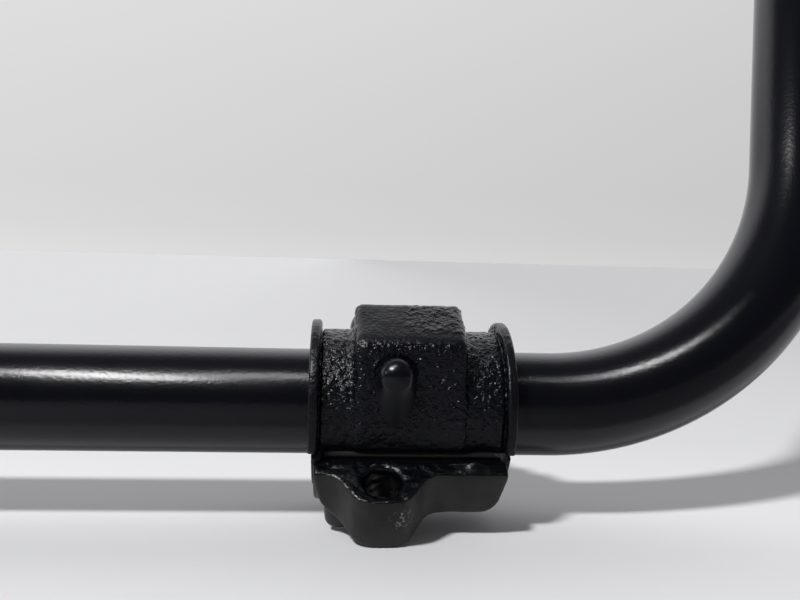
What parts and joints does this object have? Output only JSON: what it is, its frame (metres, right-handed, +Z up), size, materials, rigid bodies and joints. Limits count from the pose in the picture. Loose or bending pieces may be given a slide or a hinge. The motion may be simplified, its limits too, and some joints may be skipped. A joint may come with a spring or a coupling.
{
  "type": "sway bar",
  "caption": "U-shaped tubular anti-roll bar with flattened eye ends, held by cast saddle brackets with split rubber bushes.",
  "frame": {"origin": "on the axis of the straight middle of the bar, halfway between the two clamps", "axes": "+X along the bar towards the right-hand clamp, +Z up, -Y towards the front ears of the clamps; the clamps lean 30 degrees to -Y and the arms 14 degrees to +Y, as the bar stands on its front ears"},
  "size_m": [1.0624, 0.133, 0.3583],
  "materials": {
    "bar_paint": "satin black paint over steel tube",
    "cast_bracket": "satin cast iron, black paint on the upper faces",
    "bush_rubber": "rough rubber under black paint",
    "peg_plastic": "smooth moulded black"
  },
  "bodies": {
    "left_clamp": {"left_bracket": "cast_bracket", "left_lower_bush": "bush_rubber", "left_upper_bush": "bush_rubber", "left_locating_pegs": "peg_plastic"},
    "right_clamp": {"right_bracket": "cast_bracket", "right_lower_bush": "bush_rubber", "right_upper_bush": "bush_rubber", "right_locating_pegs": "peg_plastic"},
    "bar": {"bar_tube": "bar_paint", "left_eye_end": "bar_paint", "right_eye_end": "bar_paint"}
  },
  "joints": [
    {"name": "bar_swing", "type": "hinge", "parent": "left_clamp", "child": "bar", "pos_m": [-0.33, 0, 0], "axis": [1, 0, 0], "range_deg": [-20, 20], "stiffness_Nm_per_rad": 60},
    {"name": "right_clamp_turn", "type": "hinge", "parent": "bar", "child": "right_clamp", "pos_m": [0.33, 0, 0], "axis": [1, 0, 0], "range_deg": [-20, 20], "stiffness_Nm_per_rad": 60}
  ],
  "couplings": [
    {"joint": "right_clamp_turn", "follows": "bar_swing", "ratio": -1}
  ]
}
